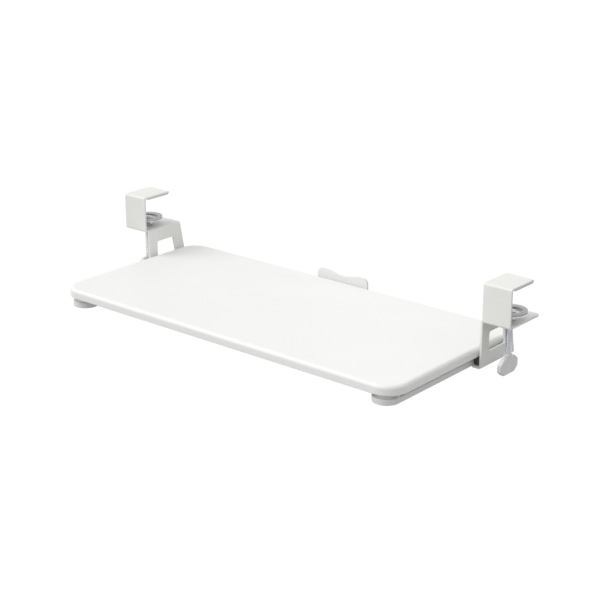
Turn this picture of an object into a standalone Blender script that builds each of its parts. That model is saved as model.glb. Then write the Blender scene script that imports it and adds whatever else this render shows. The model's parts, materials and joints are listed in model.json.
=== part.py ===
"""Clamp-on pull-out keyboard tray, built from its separate pieces.

Units are metres and +Z is up. The origin lies on the desk's front edge, midway between the two clamps:
X runs along the desk's edge, +Y points under the desk, and Z = 0 is the desk's top surface.
The tray is fully pulled out, and both clamp pads are down.
Pieces that come in pairs are made on the +X side and mirrored.
"""

import math

import bmesh
import bpy
from mathutils import Matrix, Vector

MM = 0.001

# Fits
SEAT_GAP = 0.3 * MM            # between pieces that rest on, or are cut to, each other
SLIDE_CLEARANCE = 0.4 * MM     # above and below the shoe's tongue in the rail's groove
SIDE_PLAY = 0.5 * MM           # between the shoe's tongue and the rail's neck
STOP_GAP = 0.4 * MM            # between the shoe and the rail's end cap, tray pulled out
FLANGE_CLEARANCE = 1.0 * MM    # between the rail's flange and the bracket's foot or the shoe
BOARD_CLEARANCE = 3.8 * MM     # between the board's side edge and the bracket's web
PAD_CLEARANCE = 2.7 * MM       # between the clamp pad and the jaw's front plate
PAD_INSET = 0.6 * MM           # from the jaw's inner edge to the clamp pad's rim
SHOULDER_GAP = 0.3 * MM        # play of the swivelling clamp pad on its screw

# Tray board
BOARD_WIDTH = 650 * MM
BOARD_DEPTH = 300 * MM
BOARD_THICKNESS = 15 * MM
BOARD_CORNER_RADIUS = 32 * MM
BOARD_TOP_ROUNDING = 6 * MM
BOARD_BOTTOM_ROUNDING = 1.5 * MM

# Rails under the board
RAIL_WIDTH = 40 * MM
RAIL_HEIGHT = 15.2 * MM
RAIL_FLANGE = 8.3 * MM         # thickness of the wide lower flange
RAIL_NECK_WIDTH = 28 * MM
RAIL_SIDE_INSET = 9.1 * MM     # from the board's side edge
RAIL_FRONT_INSET = 4.3 * MM    # from the board's front edge
RAIL_LUG_SETBACK = 20 * MM     # from the rail's front tip to the lug that stops the tray
RAIL_LUG_LENGTH = 6 * MM
RAIL_LUG_INSET = 1 * MM        # of the lug behind the flange's edge
RAIL_LIFT = 0.9 * MM           # of the rail's underside above the bracket's foot's

# End caps: the rails' half-round rear ends, which close the grooves
CAP_LENGTH = 11.5 * MM
CAP_INSET = 4 * MM             # from the board's rear edge

# Clamp brackets, each one bent steel sheet
SHEET = 3.0 * MM
BEND_RADIUS = 0.5 * MM         # inside radius of each bend
BRACKET_HEIGHT = 130.9 * MM
JAW_WIDTH = 45.8 * MM
JAW_GAP = 1.3 * MM             # relief between the web's outer face and the jaw's inner edge
JAW_HEIGHT = 59.5 * MM         # over the top and bottom plates
TOP_PLATE_DEPTH = 57.3 * MM
BOTTOM_PLATE_DEPTH = 77.4 * MM
FOOT_DEPTH = 90.9 * MM
WEB_SETBACK = 3.8 * MM         # of the web and the foot behind the front plate's face
PLATE_CORNER = 4 * MM          # radius of the bottom plate's outer rear corner
TOP_PLATE_CORNER = 1.5 * MM
WINDOW_FRONT_LEG = 18.8 * MM   # width of the web in front of the window
WINDOW_REAR_LEG = 21 * MM      # and behind it
WINDOW_TOP_BAND = 19.3 * MM    # from the bottom plate's underside to the window
WINDOW_BOTTOM_BAND = 22.5 * MM
WINDOW_CORNER = 3 * MM
LINER_THICKNESS = 1.7 * MM     # protective liner under the top plate
LINER_INSET = 0.4 * MM         # of the liner inside the top plate's side and rear edges
LINER_SETBACK = 7.0 * MM       # from the front plate's rear face to the liner

# Slider shoes on the brackets' feet
SHOE_SETBACK = 9.1 * MM        # behind the bracket's front face
SHOE_LENGTH = 81 * MM
SHOE_TONGUE_ROUNDING = 2 * MM

# Clamp screws, with the pads on their tops
SCREW_RADIUS = 4.9 * MM
SHANK_LENGTH = 60.5 * MM
SCREW_NECK_RADIUS = 3.0 * MM
SCREW_RIVET_RADIUS = 4.4 * MM
SCREW_RIVET_HEIGHT = 0.8 * MM
SCREW_TAIL_RADIUS = 2.2 * MM
SCREW_TAIL_LENGTH = 20 * MM
THREAD_CLEARANCE = 0.3 * MM
JAW_OPENING = 36.3 * MM        # from the liner to the pad at rest
PAD_RADIUS = 25 * MM
PAD_HOLE_RADIUS = 17.2 * MM
RING_THICKNESS = 2.4 * MM
CUP_THICKNESS = 1.8 * MM
WASHER_RADIUS = 8.5 * MM
WASHER_THICKNESS = 0.8 * MM
NUT_BUSH_RADIUS = 7.2 * MM
NUT_COLLAR_RADIUS = 8.6 * MM
NUT_COLLAR_HEIGHT = 2.5 * MM

# Knobs: flat eight-sided paddles on the screws' lower ends
KNOB_WIDTH = 44 * MM
KNOB_HEIGHT = 25 * MM
KNOB_THICKNESS = 7 * MM
KNOB_CORNER_RUN = 8.5 * MM     # along the knob's width
KNOB_CORNER_RISE = 7 * MM
KNOB_EDGE_ROUNDING = 0.8 * MM
COLLAR_RADIUS = 5.4 * MM
COLLAR_HEIGHT = 5.6 * MM

# Rear stop: an upright wavy plate that keeps a keyboard from sliding off
STOP_WIDTH = 101 * MM
STOP_THICKNESS = 3 * MM
STOP_HUMP_HEIGHT = 14.4 * MM   # above the board's top
STOP_VALLEY_HEIGHT = 9.3 * MM
STOP_HUMP_OFFSET = 35 * MM     # from the middle to the top of each hump
STOP_CORNER = 9 * MM
STOP_FOOT_DEPTH = 18 * MM

# Countersunk screws
WOOD_SCREW_HEAD = 3.6 * MM     # radii
WOOD_SCREW_SHANK = 1.9 * MM
WOOD_SCREW_HEAD_HEIGHT = 2.2 * MM
WOOD_SCREW_RECESS = 0.3 * MM   # of the head below the face it is sunk in
RAIL_SCREW_LENGTH = 24 * MM
STOP_SCREW_LENGTH = 12 * MM
SHOE_SCREW_LENGTH = 9 * MM
CAP_SCREW_LENGTH = 16 * MM
RAIL_SCREW_END_DISTANCE = 25 * MM
RAIL_SCREW_COUNT = 3
STOP_SCREW_SPACING = 64 * MM
SHOE_SCREW_SPACING = 50 * MM

ARC_STEPS = 6
ROUND_STEPS = 32
SCREW_STEPS = 12
OVERCUT = 1 * MM               # how far a cutter runs past the face it cuts

# Heights, worked out from the desk's top down
TOP_PLATE_BOTTOM = LINER_THICKNESS + SEAT_GAP
TOP_FACE = TOP_PLATE_BOTTOM + SHEET
JAW_BOTTOM = TOP_FACE - JAW_HEIGHT
JAW_FLOOR = JAW_BOTTOM + SHEET
FOOT_BOTTOM = TOP_FACE - BRACKET_HEIGHT
FOOT_TOP = FOOT_BOTTOM + SHEET
RAIL_BOTTOM = FOOT_BOTTOM + RAIL_LIFT
RAIL_TOP = RAIL_BOTTOM + RAIL_HEIGHT
GROOVE_BOTTOM = RAIL_BOTTOM + RAIL_FLANGE
BOARD_BOTTOM = RAIL_TOP + SEAT_GAP
BOARD_TOP = BOARD_BOTTOM + BOARD_THICKNESS
TONGUE_BOTTOM = GROOVE_BOTTOM + SLIDE_CLEARANCE
TONGUE_TOP = BOARD_BOTTOM - SLIDE_CLEARANCE

# Places across the tray, on the +X side
BOARD_EDGE = BOARD_WIDTH / 2
RAIL_OUTER = BOARD_EDGE - RAIL_SIDE_INSET
RAIL_CENTRE = RAIL_OUTER - RAIL_WIDTH / 2
NECK_OUTER = RAIL_CENTRE + RAIL_NECK_WIDTH / 2
WEB_INNER = BOARD_EDGE + BOARD_CLEARANCE
WEB_OUTER = WEB_INNER + SHEET
FOOT_INNER = RAIL_OUTER + FLANGE_CLEARANCE
JAW_INNER = WEB_OUTER + JAW_GAP
JAW_OUTER = JAW_INNER + JAW_WIDTH
SCREW_X = JAW_INNER + PAD_INSET + PAD_RADIUS

# Places from front to back
FRONT_FACE = -SHEET
WEB_FRONT = FRONT_FACE + WEB_SETBACK
SCREW_Y = PAD_CLEARANCE + PAD_RADIUS
PLATE_REAR = FRONT_FACE + BOTTOM_PLATE_DEPTH
FOOT_REAR = FRONT_FACE + FOOT_DEPTH
SHOE_FRONT = FRONT_FACE + SHOE_SETBACK
SHOE_REAR = SHOE_FRONT + SHOE_LENGTH
CAP_FRONT = SHOE_REAR + STOP_GAP
CAP_REAR = CAP_FRONT + CAP_LENGTH
RAIL_REAR = CAP_FRONT - SEAT_GAP
BOARD_REAR = CAP_REAR + CAP_INSET
BOARD_FRONT = BOARD_REAR - BOARD_DEPTH
RAIL_FRONT = BOARD_FRONT + RAIL_FRONT_INSET
RAIL_SCREW_FIRST = RAIL_FRONT + RAIL_SCREW_END_DISTANCE
RAIL_SCREW_LAST = RAIL_REAR - RAIL_SCREW_END_DISTANCE

# Heights of the clamp pad's stack and of the knob, pad at rest
RING_TOP = -JAW_OPENING
RING_BOTTOM = RING_TOP - RING_THICKNESS
CUP_TOP = RING_BOTTOM - SEAT_GAP
CUP_BOTTOM = CUP_TOP - CUP_THICKNESS
WASHER_BOTTOM = CUP_TOP + SEAT_GAP
WASHER_TOP = WASHER_BOTTOM + WASHER_THICKNESS
SHANK_TOP = CUP_BOTTOM - SHOULDER_GAP
SHANK_BOTTOM = SHANK_TOP - SHANK_LENGTH
RIVET_BOTTOM = WASHER_TOP + SHOULDER_GAP
COLLAR_TOP = SHANK_BOTTOM - SEAT_GAP
KNOB_TOP = COLLAR_TOP - COLLAR_HEIGHT
KNOB_BOTTOM = KNOB_TOP - KNOB_HEIGHT


# ---------------------------------------------------------------- shapes

def arc(centre_u, centre_v, radius, start, end, steps=ARC_STEPS):
    """Points of an arc from one angle to another, in degrees."""
    angles = [math.radians(start + (end - start) * i / steps) for i in range(steps + 1)]
    return [(centre_u + radius * math.cos(a), centre_v + radius * math.sin(a)) for a in angles]


def rounded_polygon(corners, radius, steps=ARC_STEPS):
    """A counter-clockwise convex outline whose corners are replaced by arcs."""
    outline = []
    count = len(corners)
    for i, corner in enumerate(corners):
        here = Vector(corner)
        before = (Vector(corners[i - 1]) - here).normalized()
        after = (Vector(corners[(i + 1) % count]) - here).normalized()
        half_angle = before.angle(after) / 2
        centre = here + (before + after).normalized() * radius / math.sin(half_angle)
        start = here + before * radius / math.tan(half_angle)
        end = here + after * radius / math.tan(half_angle)
        first = math.atan2(start.y - centre.y, start.x - centre.x)
        turn = (math.atan2(end.y - centre.y, end.x - centre.x) - first) % math.tau
        outline += arc(centre.x, centre.y, radius, math.degrees(first), math.degrees(first + turn), steps)
    return outline


def rectangle(low_u, low_v, high_u, high_v):
    return [(low_u, low_v), (high_u, low_v), (high_u, high_v), (low_u, high_v)]


def bent_strip(path, thickness, bend_radius, steps=4):
    """The closed outline of a sheet folded along a centreline path, with round bends."""
    middle_radius = bend_radius + thickness / 2
    left, right = [], []

    def offset(point, normal):
        left.append(tuple(point + normal * thickness / 2))
        right.append(tuple(point - normal * thickness / 2))

    points = [Vector(p) for p in path]
    directions = [(b - a).normalized() for a, b in zip(points, points[1:])]
    offset(points[0], Vector((-directions[0].y, directions[0].x)))
    for corner, before, after in zip(points[1:], directions, directions[1:]):
        turn = before.angle_signed(after) * -1
        side = math.copysign(1.0, turn)
        reach = middle_radius * math.tan(abs(turn) / 2)
        normal = Vector((-before.y, before.x)) * side
        centre = corner - before * reach + normal * middle_radius
        for i in range(steps + 1):
            angle = turn * i / steps
            spoke = Matrix.Rotation(angle, 2) @ (-normal)
            offset(centre + spoke * middle_radius, -spoke * side)
    offset(points[-1], Vector((-directions[-1].y, directions[-1].x)))
    return left + right[::-1]


def prism(outline, axis, low, high):
    """A bmesh that extrudes an outline, drawn on the other two axes, along X, Y or Z."""
    bm = bmesh.new()

    def place(u, v, w):
        return {"X": (w, u, v), "Y": (u, w, v), "Z": (u, v, w)}[axis]

    bottom = [bm.verts.new(place(u, v, low)) for u, v in outline]
    top = [bm.verts.new(place(u, v, high)) for u, v in outline]
    count = len(outline)
    for i in range(count):
        j = (i + 1) % count
        bm.faces.new((bottom[i], bottom[j], top[j], top[i]))
    bm.faces.new(bottom[::-1])
    bm.faces.new(top)
    bmesh.ops.recalc_face_normals(bm, faces=bm.faces)
    return bm


def turned(profile, steps=ROUND_STEPS):
    """A bmesh turned about Z from a closed profile of (radius, height) points."""
    bm = bmesh.new()
    rings = []
    for radius, height in profile:
        if radius == 0:
            rings.append([bm.verts.new((0, 0, height))] * steps)
            continue
        angles = [math.tau * (i + 0.5) / steps for i in range(steps)]
        rings.append([bm.verts.new((radius * math.cos(a), radius * math.sin(a), height)) for a in angles])
    for inner, outer in zip(rings, rings[1:] + rings[:1]):
        for i in range(steps):
            j = (i + 1) % steps
            corners = []
            for vertex in (inner[i], inner[j], outer[j], outer[i]):
                if vertex not in corners:
                    corners.append(vertex)
            if len(corners) > 2:
                bm.faces.new(corners)
    bmesh.ops.recalc_face_normals(bm, faces=bm.faces)
    return bm


def lofted(outlines):
    """A closed bmesh through stacked outlines of equal length, each a list of (x, y, z)."""
    bm = bmesh.new()
    loops = [[bm.verts.new(point) for point in outline] for outline in outlines]
    count = len(loops[0])
    for lower, upper in zip(loops, loops[1:]):
        for i in range(count):
            j = (i + 1) % count
            bm.faces.new((lower[i], lower[j], upper[j], upper[i]))
    bm.faces.new(loops[0][::-1])
    bm.faces.new(loops[-1])
    bmesh.ops.recalc_face_normals(bm, faces=bm.faces)
    return bm


UPWARDS = Matrix.Identity(4)
TOWARDS_FRONT = Matrix.Rotation(math.radians(90), 4, "X")


def moved(bm, matrix):
    bmesh.ops.transform(bm, matrix=matrix, verts=bm.verts)
    return bm


def merged(bms):
    """Several separate solids in one bmesh."""
    result = bmesh.new()
    for bm in bms:
        mesh = bpy.data.meshes.new("part_of_group")
        bm.to_mesh(mesh)
        bm.free()
        result.from_mesh(mesh)
        bpy.data.meshes.remove(mesh)
    return result


def countersunk(length, gap=0.0, overrun=0.0):
    """The profile of a countersunk screw pointing up from height 0, or of its hole, a gap larger."""
    head = WOOD_SCREW_HEAD + gap
    shank = WOOD_SCREW_SHANK + gap
    tip = length - 2 * WOOD_SCREW_SHANK
    return [
        (0, -overrun), (head, -overrun), (head, gap), (shank, WOOD_SCREW_HEAD_HEIGHT + gap),
        (shank, tip), (0.3 * shank, length + gap), (0, length + gap),
    ]


def sunk(place, turn):
    """The place of a screw whose head sits a little below the face it is sunk in."""
    return Matrix.Translation(place) @ turn @ Matrix.Translation((0, 0, WOOD_SCREW_RECESS))


def screw_holes(places, length, turn=UPWARDS):
    profile = countersunk(length, SEAT_GAP, WOOD_SCREW_RECESS + OVERCUT)
    return merged(moved(turned(profile, SCREW_STEPS), sunk(place, turn)) for place in places)


# ---------------------------------------------------------------- objects

def material(name, colour, roughness, metallic=0.0):
    made = bpy.data.materials.new(name)
    made.use_nodes = True
    shader = made.node_tree.nodes["Principled BSDF"]
    shader.inputs["Base Color"].default_value = (*colour, 1.0)
    shader.inputs["Roughness"].default_value = roughness
    shader.inputs["Metallic"].default_value = metallic
    return made


def pivot(name, place):
    """An empty that a moving group hangs from, on the group's joint axis."""
    empty = bpy.data.objects.new(name, None)
    empty.location = place
    bpy.context.scene.collection.objects.link(empty)
    return empty


def piece(name, bm, finish, parent=None):
    """Adds a bmesh, drawn in the part's own frame, as an object whose origin is its parent's."""
    origin = parent.location.copy() if parent else Vector((0, 0, 0))
    moved(bm, Matrix.Translation(-origin))
    mesh = bpy.data.meshes.new(name)
    bm.to_mesh(mesh)
    bm.free()
    mesh.materials.append(finish)
    mesh.shade_smooth()
    mesh.set_sharp_from_angle(angle=math.radians(35))
    made = bpy.data.objects.new(name, mesh)
    bpy.context.scene.collection.objects.link(made)
    if parent:
        made.parent = parent
    return made


def boolean(target, bm, operation, name):
    """Cuts, or joins on, a bmesh drawn in the part's own frame."""
    mesh = bpy.data.meshes.new(name)
    bm.to_mesh(mesh)
    bm.free()
    tool = bpy.data.objects.new(name, mesh)
    tool.hide_render = True
    tool.display_type = "WIRE"
    bpy.context.scene.collection.objects.link(tool)
    modifier = target.modifiers.new(name, "BOOLEAN")
    modifier.operation = operation
    modifier.solver = "EXACT"
    modifier.object = tool


def cut(target, bm, name):
    boolean(target, bm, "DIFFERENCE", f"{target.name}.{name}")


def join(target, bm, name):
    boolean(target, bm, "UNION", f"{target.name}.{name}")


def screw(name, place, length, finish, parent=None, turn=UPWARDS):
    body = turned(countersunk(length), SCREW_STEPS)
    return piece(name, moved(body, sunk(place, turn)), finish, parent)


def screws_in_pairs(name, places, length, finish, parent=None, turn=UPWARDS):
    """A screw at each place on the +X side and its twin on the -X side, numbered from the front."""
    for number, (x, y, z) in enumerate(places, 1):
        screw(f"{name}_right_{number}", (x, y, z), length, finish, parent, turn)
        screw(f"{name}_left_{number}", (-x, y, z), length, finish, parent, turn)


def mirrored(source, name, parent=None):
    """The -X twin of a finished piece."""
    bpy.context.view_layer.update()
    shape = bpy.data.meshes.new_from_object(source.evaluated_get(bpy.context.evaluated_depsgraph_get()))
    bm = bmesh.new()
    bm.from_mesh(shape)
    moved(bm, Matrix.Scale(-1, 4, (1, 0, 0)) @ source.matrix_world)
    bmesh.ops.reverse_faces(bm, faces=bm.faces)
    bpy.data.meshes.remove(shape)
    return piece(name, bm, source.data.materials[0], parent)


# ---------------------------------------------------------------- tray

def rail_screw_places():
    step = (RAIL_SCREW_LAST - RAIL_SCREW_FIRST) / (RAIL_SCREW_COUNT - 1)
    return [(RAIL_CENTRE, RAIL_SCREW_FIRST + i * step, RAIL_BOTTOM) for i in range(RAIL_SCREW_COUNT)]


def stop_screw_places():
    middle = BOARD_REAR - STOP_FOOT_DEPTH / 2
    height = BOARD_BOTTOM - SEAT_GAP - STOP_THICKNESS
    return [(side * STOP_SCREW_SPACING / 2, middle, height) for side in (-1, 1)]


def board_outline(inset, height):
    """The board's plan outline drawn in by an inset, at one height."""
    radius = BOARD_CORNER_RADIUS - inset
    half = BOARD_EDGE - BOARD_CORNER_RADIUS
    front = BOARD_FRONT + BOARD_CORNER_RADIUS
    rear = BOARD_REAR - BOARD_CORNER_RADIUS
    centres = [(half, front), (half, rear), (-half, rear), (-half, front)]
    plan = []
    for quarter, (centre_x, centre_y) in enumerate(centres):
        start = 90 * (quarter - 1)
        plan += arc(centre_x, centre_y, radius, start, start + 90, 8)
    return [(x, y, height) for x, y in plan]


def board(finish, parent):
    """The slab, with its rounded upper and lower edges and the pilot holes under it."""
    low_round, high_round = BOARD_BOTTOM_ROUNDING, BOARD_TOP_ROUNDING
    lower = arc(low_round, BOARD_BOTTOM + low_round, low_round, 270, 180, 2)
    upper = arc(high_round, BOARD_TOP - high_round, high_round, 180, 90, 5)
    outlines = [board_outline(inset, height) for inset, height in lower + upper]
    slab = piece("board", lofted(outlines), finish, parent)
    places = rail_screw_places()
    cut(slab, screw_holes(places, RAIL_SCREW_LENGTH), "rail_pilots_right")
    cut(slab, screw_holes([(-x, y, z) for x, y, z in places], RAIL_SCREW_LENGTH), "rail_pilots_left")
    cut(slab, screw_holes(stop_screw_places(), STOP_SCREW_LENGTH), "stop_pilots")


def strip_outline(width):
    """A strip along Y, as long as rail and cap together, with half-round ends about the flange's centres."""
    half = width / 2
    flange_half = RAIL_WIDTH / 2
    return (arc(RAIL_CENTRE, RAIL_FRONT + flange_half, half, 180, 360, 16)
            + arc(RAIL_CENTRE, CAP_REAR - flange_half, half, 0, 180, 16))


def across_rail(front, rear):
    """A block over the rail's whole width and height, from front to rear, with some overcut."""
    half = RAIL_WIDTH / 2 + OVERCUT
    outline = rectangle(RAIL_CENTRE - half, front, RAIL_CENTRE + half, rear)
    return prism(outline, "Z", RAIL_BOTTOM - OVERCUT, RAIL_TOP + OVERCUT)


def cap_screw_place():
    return (RAIL_CENTRE, CAP_REAR, (RAIL_BOTTOM + RAIL_TOP) / 2)


def rails(finish, screw_finish, parent):
    """Wide flange, narrow neck, and the lug that the shoe meets when the tray is pushed in."""
    flange = prism(strip_outline(RAIL_WIDTH), "Z", RAIL_BOTTOM, GROOVE_BOTTOM)
    right = piece("rail_right", flange, finish, parent)
    join(right, prism(strip_outline(RAIL_NECK_WIDTH), "Z", GROOVE_BOTTOM - OVERCUT, RAIL_TOP), "neck")
    lug_front = RAIL_FRONT + RAIL_LUG_SETBACK
    lug = rectangle(RAIL_CENTRE, lug_front, RAIL_OUTER - RAIL_LUG_INSET, lug_front + RAIL_LUG_LENGTH)
    join(right, prism(lug, "Z", GROOVE_BOTTOM - 2 * OVERCUT, RAIL_TOP - SEAT_GAP), "lug")
    cut(right, across_rail(RAIL_REAR, CAP_REAR + OVERCUT), "rear_end")
    cut(right, screw_holes(rail_screw_places(), RAIL_SCREW_LENGTH), "screw_holes")
    cut(right, screw_holes([cap_screw_place()], CAP_SCREW_LENGTH, TOWARDS_FRONT), "cap_screw_hole")
    mirrored(right, "rail_left", parent)
    screws_in_pairs("rail_screw", rail_screw_places(), RAIL_SCREW_LENGTH, screw_finish, parent)


def end_caps(finish, screw_finish, parent):
    """Full-height blocks behind the rails: the shoes' tongues stop against them."""
    block = prism(strip_outline(RAIL_WIDTH), "Z", RAIL_BOTTOM, RAIL_TOP)
    right = piece("rail_cap_right", block, finish, parent)
    cut(right, across_rail(RAIL_FRONT - OVERCUT, CAP_FRONT), "front_end")
    cut(right, screw_holes([cap_screw_place()], CAP_SCREW_LENGTH, TOWARDS_FRONT), "screw_hole")
    mirrored(right, "rail_cap_left", parent)
    screws_in_pairs("cap_screw", [cap_screw_place()], CAP_SCREW_LENGTH, screw_finish, parent, TOWARDS_FRONT)


def stop_outline():
    """The rear stop seen from the front: two humps with a valley between them."""
    half = STOP_WIDTH / 2
    base = BOARD_BOTTOM - SEAT_GAP - STOP_THICKNESS
    middle = (STOP_HUMP_HEIGHT + STOP_VALLEY_HEIGHT) / 2
    swing = (STOP_HUMP_HEIGHT - STOP_VALLEY_HEIGHT) / 2
    flat_end = half - STOP_CORNER
    steps = 12
    right = arc(flat_end, BOARD_TOP + STOP_HUMP_HEIGHT - STOP_CORNER, STOP_CORNER, 0, 90)
    for i in range(steps + 1):
        x = STOP_HUMP_OFFSET * (1 - i / steps)
        right.append((x, BOARD_TOP + middle - swing * math.cos(math.pi * x / STOP_HUMP_OFFSET)))
    left = [(-x, z) for x, z in right[-2::-1]]
    return [(-half, base), (half, base)] + right + left


def rear_stop(finish, screw_finish, parent):
    """The wavy plate and the foot that holds it under the board."""
    front = BOARD_REAR + SEAT_GAP
    made = piece("rear_stop", prism(stop_outline(), "Y", front, front + STOP_THICKNESS), finish, parent)
    half = STOP_WIDTH / 2
    top = BOARD_BOTTOM - SEAT_GAP
    outline = rectangle(-half, BOARD_REAR - STOP_FOOT_DEPTH, half, front + STOP_THICKNESS / 2)
    join(made, prism(outline, "Z", top - STOP_THICKNESS, top), "foot")
    cut(made, screw_holes(stop_screw_places(), STOP_SCREW_LENGTH), "screw_holes")
    for number, place in enumerate(stop_screw_places(), 1):
        screw(f"rear_stop_screw_{number}", place, STOP_SCREW_LENGTH, screw_finish, parent)


# ---------------------------------------------------------------- clamp brackets

def shoe_screw_places():
    middle = (SHOE_FRONT + SHOE_REAR) / 2
    across = (FOOT_INNER + WEB_INNER) / 2
    return [(across, middle + side * SHOE_SCREW_SPACING / 2, FOOT_BOTTOM) for side in (-1, 1)]


def web_rear(height):
    """How far back the web reaches at a height: it slopes from the bottom plate's edge to the foot's."""
    return PLATE_REAR + (FOOT_REAR - PLATE_REAR) * (JAW_BOTTOM - height) / (JAW_BOTTOM - FOOT_BOTTOM)


def window_outline():
    """The opening in the web, (y, z), with its rear side parallel to the web's rear edge."""
    top = JAW_BOTTOM - WINDOW_TOP_BAND
    bottom = FOOT_BOTTOM + WINDOW_BOTTOM_BAND
    front = WEB_FRONT + WINDOW_FRONT_LEG
    corners = [(front, bottom), (web_rear(bottom) - WINDOW_REAR_LEG, bottom),
               (web_rear(top) - WINDOW_REAR_LEG, top), (front, top)]
    return rounded_polygon(corners, WINDOW_CORNER, 4)


def corner_cut(corner_x, corner_y, radius):
    """The waste outside a rounded corner that points towards +X and +Y."""
    centre_x, centre_y = corner_x - radius, corner_y - radius
    beyond = OVERCUT
    return arc(centre_x, centre_y, radius, 0, 90) + [
        (centre_x, corner_y + beyond), (corner_x + beyond, corner_y + beyond), (corner_x + beyond, centre_y)]


def brackets(finish):
    """One bent sheet a side: foot, web and bottom plate in one strip, front and top plates in another."""
    half = SHEET / 2
    overlap = BEND_RADIUS + SHEET
    foot_strip = bent_strip([(FOOT_INNER, FOOT_BOTTOM + half), (WEB_INNER + half, FOOT_BOTTOM + half),
                             (WEB_INNER + half, JAW_BOTTOM + half), (WEB_OUTER + overlap, JAW_BOTTOM + half)],
                            SHEET, BEND_RADIUS)
    right = piece("bracket_right", prism(foot_strip, "Y", WEB_FRONT, FOOT_REAR + OVERCUT), finish)
    waste = [(PLATE_REAR, JAW_FLOOR + OVERCUT), (PLATE_REAR, JAW_BOTTOM), (FOOT_REAR, FOOT_BOTTOM),
             (FOOT_REAR, FOOT_BOTTOM - OVERCUT), (FOOT_REAR + 2 * OVERCUT, FOOT_BOTTOM - OVERCUT),
             (FOOT_REAR + 2 * OVERCUT, JAW_FLOOR + OVERCUT)]
    cut(right, prism(waste, "X", FOOT_INNER - OVERCUT, JAW_OUTER), "rear_slope")
    jaw_strip = bent_strip([(FRONT_FACE + TOP_PLATE_DEPTH, TOP_PLATE_BOTTOM + half),
                            (FRONT_FACE + half, TOP_PLATE_BOTTOM + half),
                            (FRONT_FACE + half, JAW_BOTTOM + half), (PLATE_REAR, JAW_BOTTOM + half)],
                           SHEET, BEND_RADIUS)
    join(right, prism(jaw_strip, "X", JAW_INNER, JAW_OUTER), "jaw")
    cut(right, prism(window_outline(), "X", WEB_INNER - OVERCUT, WEB_OUTER + OVERCUT), "window")
    plate_corner = corner_cut(JAW_OUTER, PLATE_REAR, PLATE_CORNER)
    cut(right, prism(plate_corner, "Z", JAW_BOTTOM - OVERCUT, JAW_FLOOR + OVERCUT), "plate_corner")
    top_corner = corner_cut(JAW_OUTER, FRONT_FACE + TOP_PLATE_DEPTH, TOP_PLATE_CORNER)
    cut(right, prism(top_corner, "Z", TOP_PLATE_BOTTOM - OVERCUT, TOP_FACE + OVERCUT), "top_corner")
    bush_hole = NUT_BUSH_RADIUS + SEAT_GAP
    hole = turned([(0, -OVERCUT), (bush_hole, -OVERCUT), (bush_hole, SHEET + OVERCUT), (0, SHEET + OVERCUT)])
    cut(right, moved(hole, Matrix.Translation((SCREW_X, SCREW_Y, JAW_BOTTOM))), "nut_hole")
    cut(right, screw_holes(shoe_screw_places(), SHOE_SCREW_LENGTH), "shoe_screw_holes")
    mirrored(right, "bracket_left")


def shoes(finish, screw_finish):
    """Plastic blocks on the feet. Their tongues carry the board and keep the rails' flanges under them."""
    body = rectangle(FOOT_INNER, SHOE_FRONT, WEB_INNER - SEAT_GAP, SHOE_REAR)
    right = piece("slider_shoe_right", prism(body, "Z", FOOT_TOP + SEAT_GAP, TONGUE_TOP), finish)
    tongue = rounded_polygon([(NECK_OUTER + SIDE_PLAY, SHOE_FRONT), (FOOT_INNER + SHEET, SHOE_FRONT),
                              (FOOT_INNER + SHEET, SHOE_REAR), (NECK_OUTER + SIDE_PLAY, SHOE_REAR)],
                             SHOE_TONGUE_ROUNDING, 3)
    join(right, prism(tongue, "Z", TONGUE_BOTTOM, TONGUE_TOP), "tongue")
    cut(right, screw_holes(shoe_screw_places(), SHOE_SCREW_LENGTH), "pilots")
    mirrored(right, "slider_shoe_left")
    screws_in_pairs("shoe_screw", shoe_screw_places(), SHOE_SCREW_LENGTH, screw_finish)


def liners(finish):
    """The thin sheets that keep the top plates from marking the desk."""
    rear = FRONT_FACE + TOP_PLATE_DEPTH - LINER_INSET
    corners = rectangle(JAW_INNER + LINER_INSET, LINER_SETBACK, JAW_OUTER - LINER_INSET, rear)
    outline = rounded_polygon(corners, TOP_PLATE_CORNER, 3)
    right = piece("jaw_liner_right", prism(outline, "Z", 0.0, LINER_THICKNESS), finish)
    mirrored(right, "jaw_liner_left")


def clamp_nuts(finish):
    """Threaded bushes pressed into the bottom plates."""
    bore = SCREW_RADIUS + THREAD_CLEARANCE
    seat = JAW_FLOOR + SEAT_GAP
    top = seat + NUT_COLLAR_HEIGHT
    profile = [(bore, JAW_BOTTOM), (NUT_BUSH_RADIUS, JAW_BOTTOM), (NUT_BUSH_RADIUS, seat),
               (NUT_COLLAR_RADIUS, seat), (NUT_COLLAR_RADIUS, top), (bore, top)]
    nut = moved(turned(profile), Matrix.Translation((SCREW_X, SCREW_Y, 0)))
    right = piece("clamp_nut_right", nut, finish)
    mirrored(right, "clamp_nut_left")


# ---------------------------------------------------------------- clamp screws and pads

def ring_profile(inner, outer, bottom, top):
    return [(inner, bottom), (outer, bottom), (outer, top), (inner, top)]


def pad(side, sign, cup_finish, ring_finish, washer_finish):
    """Pressed steel cup, grip ring on it, and the washer that the screw is riveted over."""
    axis = pivot(f"pad_axis_{side}", (sign * SCREW_X, SCREW_Y, RING_TOP))
    place = Matrix.Translation((sign * SCREW_X, SCREW_Y, 0))
    bore = SCREW_NECK_RADIUS + SHOULDER_GAP
    cup = ring_profile(bore, PAD_RADIUS, CUP_BOTTOM, CUP_TOP)
    ring = ring_profile(PAD_HOLE_RADIUS, PAD_RADIUS - SEAT_GAP, RING_BOTTOM, RING_TOP)
    washer = ring_profile(bore, WASHER_RADIUS, WASHER_BOTTOM, WASHER_TOP)
    piece(f"pad_cup_{side}", moved(turned(cup), place), cup_finish, axis)
    piece(f"pad_ring_{side}", moved(turned(ring), place), ring_finish, axis)
    piece(f"pad_washer_{side}", moved(turned(washer), place), washer_finish, axis)
    return axis


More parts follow.
